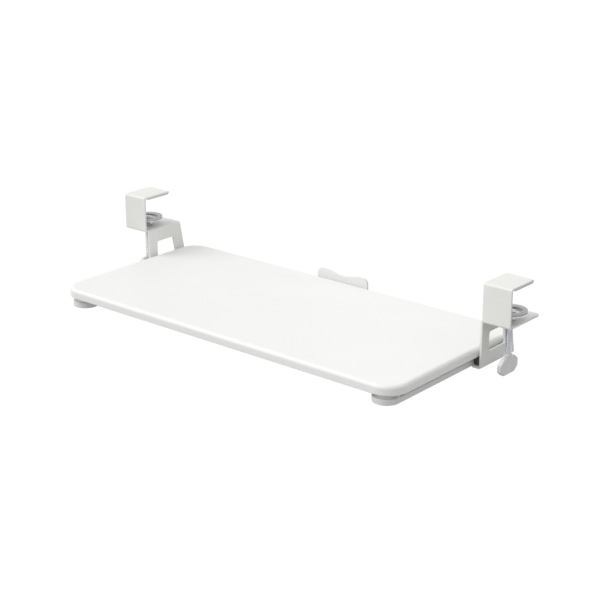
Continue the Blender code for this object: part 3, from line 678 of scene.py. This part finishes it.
def clamp_screw(side):
    """Rolled thread with plain ends, the tail in the knob, and the riveted head above the pad."""
    low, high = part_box(f"clamp_screw_{side}")
    axis = screw_axis(side)
    crest = (high.x - low.x) / 2
    shank_low = low.z + TAIL_LENGTH
    shank_high = shank_low + SHANK_LENGTH
    root = crest - THREAD_DEPTH
    loops = [ring_loop(TAIL_RADIUS - TAIL_CHAMFER, low.z), ring_loop(TAIL_RADIUS, low.z + TAIL_CHAMFER),
             ring_loop(TAIL_RADIUS, shank_low), ring_loop(root, shank_low)]
    loops += threaded(shank_low + THREAD_END, shank_high - THREAD_END, crest, THREAD_DEPTH, THREAD_PITCH,
                      THREAD_RUNOUT)
    rivet = high.z - RIVET_HEIGHT
    loops += [ring_loop(root, shank_high), ring_loop(NECK_RADIUS, shank_high),
              ring_loop(NECK_RADIUS, rivet), ring_loop(RIVET_RADIUS, rivet)]
    for inset, z in edge_steps(rivet, high.z, 0, RIVET_CROWN)[EDGE_STEPS + 1:]:
        loops.append(ring_loop(RIVET_RADIUS - RIVET_SPREAD * inset, z))
    screw = moved(lofted(loops), Matrix.Translation(axis))
    piece(f"clamp_screw_{side}", screw, axis)


def knob(side):
    """Eight-sided paddle with soft corners, and a collar that flares into it."""
    low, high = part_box(f"knob_{side}")
    axis = screw_axis(side)
    half_width = (high.y - low.y) / 2
    top = low.z + KNOB_HEIGHT
    run, rise = KNOB_CORNER_RUN, KNOB_CORNER_RISE
    corners = [(-half_width + run, low.z), (half_width - run, low.z), (half_width, low.z + rise),
               (half_width, top - rise), (half_width - run, top), (-half_width + run, top),
               (-half_width, top - rise), (-half_width, low.z + rise)]
    half = KNOB_THICKNESS / 2
    paddle = prism(rounded_polygon(corners, KNOB_CORNER_ROUNDING, 8), "X", -half, half, KNOB_EDGE, KNOB_EDGE)
    bore = TAIL_RADIUS + FIT_GAP
    root = top - 2 * OVERCUT
    collar = [(0, root), (half - COLLAR_ROOT_INSET, root), (half, top - COLLAR_SINK),
              (COLLAR_RADIUS - COLLAR_FLARE, top + COLLAR_FLARE), (COLLAR_RADIUS, top + COLLAR_FLARE_HEIGHT),
              (COLLAR_RADIUS, high.z - COLLAR_CHAMFER), (COLLAR_RADIUS - COLLAR_CHAMFER, high.z), (0, high.z)]
    body = union(paddle, turned(collar, 48))
    tail_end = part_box(f"clamp_screw_{side}")[0].z - FIT_GAP
    mouth = high.z + OVERCUT
    hole = turned([(0, tail_end), (bore, tail_end), (bore, mouth), (0, mouth)], 32)
    piece(f"knob_{side}", moved(without(body, hole), Matrix.Translation(axis)), axis)


# ---------------------------------------------------------------- small screws

def wood_screw(length):
    """A countersunk screw pointing up from height 0, with a cross recess in its head."""
    columns = 24
    outer = WOOD_SCREW_CORE + WOOD_SCREW_THREAD
    head = [(WOOD_SCREW_HEAD - WOOD_SCREW_EDGE, 0), (WOOD_SCREW_HEAD, WOOD_SCREW_EDGE),
            (WOOD_SCREW_HEAD, WOOD_SCREW_BAND), (outer, WOOD_SCREW_HEAD_HEIGHT)]
    tip = [(WOOD_SCREW_CORE * WOOD_SCREW_TIP_SHARE, length - WOOD_SCREW_TIP), (WOOD_SCREW_TIP_RADIUS, length)]
    loops = [ring_loop(radius, height, columns) for radius, height in head]
    loops += threaded(WOOD_SCREW_HEAD_HEIGHT + THREAD_END, length - WOOD_SCREW_POINT, outer,
                      WOOD_SCREW_THREAD, WOOD_SCREW_PITCH, WOOD_SCREW_RUNOUT, columns, 8)
    loops += [ring_loop(radius, height, columns) for radius, height in tip]
    half = RECESS_WIDTH / 2
    along = prism(rectangle(-RECESS_ARM, -half, RECESS_ARM, half), "Z", -OVERCUT, RECESS_DEPTH)
    across = prism(rectangle(-half, -RECESS_ARM, half, RECESS_ARM), "Z", -OVERCUT, RECESS_DEPTH)
    cross = union(along, across)
    return without(lofted(loops), cross)


def wood_screws():
    """A screw for every countersunk screw node, along the longer side of its box."""
    for node in NODE_SLOTS:
        if "_screw_" not in node or node.startswith("clamp_screw"):
            continue
        low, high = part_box(node)
        centre = (low + high) / 2
        if node.startswith("cap_screw"):
            length = high.y - low.y
            head = Vector((centre.x, high.y, centre.z))
            turn = Matrix.Rotation(math.radians(90), 4, "X")
        else:
            length = high.z - low.z
            head = Vector((centre.x, centre.y, low.z))
            turn = Matrix.Identity(4)
        piece(node, moved(wood_screw(length), Matrix.Translation(head) @ turn), head)


# ---------------------------------------------------------------- finishes

class Finish:
    """A node-based material around one Principled shader, with object coordinates in metres."""

    def __init__(self, name, colour, roughness, metallic=0.0):
        self.material = bpy.data.materials.new(name)
        self.material.use_nodes = True
        self.tree = self.material.node_tree
        self.shader = self.tree.nodes["Principled BSDF"]
        self.shader.inputs["Base Color"].default_value = (*colour, 1)
        self.shader.inputs["Roughness"].default_value = roughness
        self.shader.inputs["Metallic"].default_value = metallic
        self.place = self.tree.nodes.new("ShaderNodeTexCoord").outputs["Object"]

    def link(self, output, socket):
        self.tree.links.new(output, socket)

    def noise(self, size, detail=2.0, roughness=0.5, stretch=None):
        """Noise whose features are about a size in metres across."""
        node = self.tree.nodes.new("ShaderNodeTexNoise")
        node.inputs["Scale"].default_value = 1 / size
        node.inputs["Detail"].default_value = detail
        node.inputs["Roughness"].default_value = roughness
        vector = self.place
        if stretch:
            mapping = self.tree.nodes.new("ShaderNodeMapping")
            mapping.inputs["Scale"].default_value = stretch
            self.link(vector, mapping.inputs["Vector"])
            vector = mapping.outputs["Vector"]
        self.link(vector, node.inputs["Vector"])
        return node.outputs["Fac"]

    def ranged(self, factor, low, high, from_low=0.3, from_high=0.7):
        node = self.tree.nodes.new("ShaderNodeMapRange")
        node.inputs["From Min"].default_value = from_low
        node.inputs["From Max"].default_value = from_high
        node.inputs["To Min"].default_value = low
        node.inputs["To Max"].default_value = high
        self.link(factor, node.inputs["Value"])
        return node.outputs["Result"]

    def mixed(self, factor, first, second):
        node = self.tree.nodes.new("ShaderNodeMix")
        node.data_type = "RGBA"
        self.link(factor, node.inputs["Factor"])
        colour_inputs = node.inputs[6:8]
        for socket, value in zip(colour_inputs, (first, second)):
            if isinstance(value, tuple):
                socket.default_value = (*value, 1)
            else:
                self.link(value, socket)
        return node.outputs[2]

    def colour(self, output):
        self.link(output, self.shader.inputs["Base Color"])

    def rough(self, output):
        self.link(output, self.shader.inputs["Roughness"])

    def bumps(self, *layers):
        """Stacks (height, depth in metres) layers of relief."""
        normal = None
        for height, depth in layers:
            node = self.tree.nodes.new("ShaderNodeBump")
            node.inputs["Strength"].default_value = 1.0
            node.inputs["Distance"].default_value = depth
            self.link(height, node.inputs["Height"])
            if normal is not None:
                self.link(normal, node.inputs["Normal"])
            normal = node.outputs["Normal"]
        self.link(normal, self.shader.inputs["Normal"])


def laminate():
    """Satin white foil over fibreboard: very fine pebble, and a trace of tone between areas."""
    made = Finish("white_laminate", (0.865, 0.865, 0.853), 0.42)
    broad = made.ranged(made.noise(90 * MM, 3), 0, 1)
    made.colour(made.mixed(broad, (0.858, 0.858, 0.845), (0.872, 0.872, 0.862)))
    made.rough(made.ranged(made.noise(6 * MM, 4), 0.40, 0.48))
    made.bumps((made.noise(0.45 * MM, 3, 0.6), 0.012 * MM), (made.noise(7 * MM, 2), 0.02 * MM))
    return made.material


def powder_coat():
    """Polyester powder coat: orange peel about 2 mm across with fine grit in it."""
    made = Finish("white_powder_coat", (0.80, 0.81, 0.775), 0.45)
    broad = made.ranged(made.noise(25 * MM, 3), 0, 1)
    made.colour(made.mixed(broad, (0.79, 0.80, 0.765), (0.815, 0.825, 0.79)))
    made.rough(made.ranged(made.noise(1.2 * MM, 4), 0.40, 0.54))
    made.bumps((made.noise(2.2 * MM, 2), 0.035 * MM), (made.noise(0.35 * MM, 3), 0.010 * MM))
    return made.material


def moulded_plastic():
    """Light grey plastic from a spark-eroded mould."""
    made = Finish("light_grey_plastic", (0.75, 0.75, 0.745), 0.5)
    broad = made.ranged(made.noise(18 * MM, 3), 0, 1)
    made.colour(made.mixed(broad, (0.735, 0.735, 0.728), (0.765, 0.765, 0.76)))
    made.rough(made.ranged(made.noise(0.9 * MM, 4), 0.46, 0.58))
    made.bumps((made.noise(0.28 * MM, 4, 0.65), 0.018 * MM))
    return made.material


def slider_plastic():
    # The near-black colour is painted shade. It stands for the deep shadow in the cavity between the web, the
    # foot and the rail.
    made = Finish("dark_grey_acetal", (0.06, 0.06, 0.062), 0.42)
    broad = made.ranged(made.noise(10 * MM, 3), 0, 1)
    made.colour(made.mixed(broad, (0.05, 0.05, 0.052), (0.07, 0.07, 0.072)))
    made.rough(made.ranged(made.noise(1.5 * MM, 4), 0.36, 0.5))
    made.bumps((made.noise(0.5 * MM, 3), 0.012 * MM))
    return made.material


def zinc_steel():
    """Bright zinc plating: bluish metal with faint clouding and fine drawn marks."""
    made = Finish("zinc_plated_steel", (0.69, 0.69, 0.73), 0.2, 1.0)
    cloud = made.ranged(made.noise(4 * MM, 4), 0, 1)
    made.colour(made.mixed(cloud, (0.65, 0.652, 0.69), (0.73, 0.73, 0.77)))
    made.rough(made.ranged(made.noise(1.1 * MM, 4), 0.15, 0.25))
    made.bumps((made.noise(0.5 * MM, 3, 0.6, (1, 1, 6)), 0.006 * MM))
    return made.material


def rubber():
    made = Finish("grey_rubber", (0.58, 0.58, 0.575), 0.72)
    broad = made.ranged(made.noise(7 * MM, 3), 0, 1)
    made.colour(made.mixed(broad, (0.565, 0.565, 0.56), (0.6, 0.6, 0.595)))
    made.rough(made.ranged(made.noise(1.0 * MM, 4), 0.66, 0.8))
    made.bumps((made.noise(0.3 * MM, 3), 0.02 * MM))
    return made.material


# ---------------------------------------------------------------- studio

def camera():
    data = bpy.data.cameras.new("camera")
    data.lens = CAMERA_LENS
    data.sensor_width = CAMERA_SENSOR
    data.clip_end = 100
    made = bpy.data.objects.new("camera", data)
    made.location = CAMERA_PLACE
    made.rotation_euler = (math.radians(90 - CAMERA_ELEVATION), 0, math.radians(CAMERA_AZIMUTH))
    bpy.context.scene.collection.objects.link(made)
    bpy.context.scene.camera = made


def floor():
    """A wide pale floor well below the tray. It is clear from underneath, so the underside can be seen."""
    height = CAD_BOX[0].z - FLOOR_DROP
    corners = rectangle(-FLOOR_REACH, -FLOOR_REACH, FLOOR_REACH, FLOOR_REACH)
    mesh = bpy.data.meshes.new("floor")
    mesh.from_pydata([(x, y, height) for x, y in corners], [], [(0, 1, 2, 3)])
    made = bpy.data.objects.new("floor", mesh)
    made.visible_diffuse = False
    bpy.context.scene.collection.objects.link(made)
    finish = Finish("pale_floor", (0.9, 0.9, 0.9), 0.9)
    finish.shader.inputs["Specular IOR Level"].default_value = 0.0
    finish.shader.inputs["Emission Color"].default_value = (1, 1, 1, 1)
    finish.shader.inputs["Emission Strength"].default_value = FLOOR_GLOW
    clear = finish.tree.nodes.new("ShaderNodeBsdfTransparent")
    choice = finish.tree.nodes.new("ShaderNodeMixShader")
    side = finish.tree.nodes.new("ShaderNodeNewGeometry")
    finish.link(side.outputs["Backfacing"], choice.inputs["Fac"])
    finish.link(finish.shader.outputs["BSDF"], choice.inputs[1])
    finish.link(clear.outputs["BSDF"], choice.inputs[2])
    finish.link(choice.outputs["Shader"], finish.tree.nodes["Material Output"].inputs["Surface"])
    mesh.materials.append(finish.material)


def surroundings():
    """Even light from all round, stronger from above than from below."""
    world = bpy.data.worlds.new("studio")
    world.use_nodes = True
    tree = world.node_tree
    direction = tree.nodes.new("ShaderNodeTexCoord")
    parts = tree.nodes.new("ShaderNodeSeparateXYZ")
    blend = tree.nodes.new("ShaderNodeMapRange")
    blend.inputs["From Min"].default_value = -HORIZON_BLEND
    blend.inputs["From Max"].default_value = HORIZON_BLEND
    blend.inputs["To Min"].default_value = GROUND_LIGHT
    blend.inputs["To Max"].default_value = SKY_LIGHT
    tree.links.new(direction.outputs["Generated"], parts.inputs["Vector"])
    tree.links.new(parts.outputs["Z"], blend.inputs["Value"])
    tree.links.new(blend.outputs["Result"], tree.nodes["Background"].inputs["Strength"])
    tree.nodes["Background"].inputs["Color"].default_value = (1, 1, 1, 1)
    bpy.context.scene.world = world


def key_light():
    """A broad soft light from the front left and above."""
    data = bpy.data.lights.new("key", "SUN")
    data.energy = KEY_STRENGTH
    data.angle = math.radians(KEY_ANGLE)
    key = bpy.data.objects.new("key", data)
    key.rotation_euler = Vector(KEY_DIRECTION).to_track_quat("-Z", "Y").to_euler()
    bpy.context.scene.collection.objects.link(key)


def glint():
    """A small lamp behind the tray that only shows as a sheen on tops and in polished metal."""
    data = bpy.data.lights.new("glint", "AREA")
    data.shape = "DISK"
    data.size = GLINT_SIZE
    data.energy = GLINT_POWER
    lamp = bpy.data.objects.new("glint", data)
    lamp.location = GLINT_PLACE
    lamp.rotation_euler = (-Vector(GLINT_PLACE)).to_track_quat("-Z", "Y").to_euler()
    lamp.visible_diffuse = False
    bpy.context.scene.collection.objects.link(lamp)


def main():
    finishes["board_laminate"] = laminate()
    finishes["powder_coat"] = powder_coat()
    finishes["moulded_plastic"] = moulded_plastic()
    finishes["slider_plastic"] = slider_plastic()
    finishes["zinc_steel"] = zinc_steel()
    finishes["rubber"] = rubber()

    board()
    rails()
    end_caps()
    rear_stop()
    brackets()
    shoes()
    liners()
    clamp_nuts()
    for side in SIDES:
        pads(side)
        clamp_screw(side)
        knob(side)
    wood_screws()

    camera()
    floor()
    surroundings()
    key_light()
    glint()
    bpy.context.scene.view_settings.view_transform = "Standard"
    bpy.context.scene.view_settings.look = "None"


main()
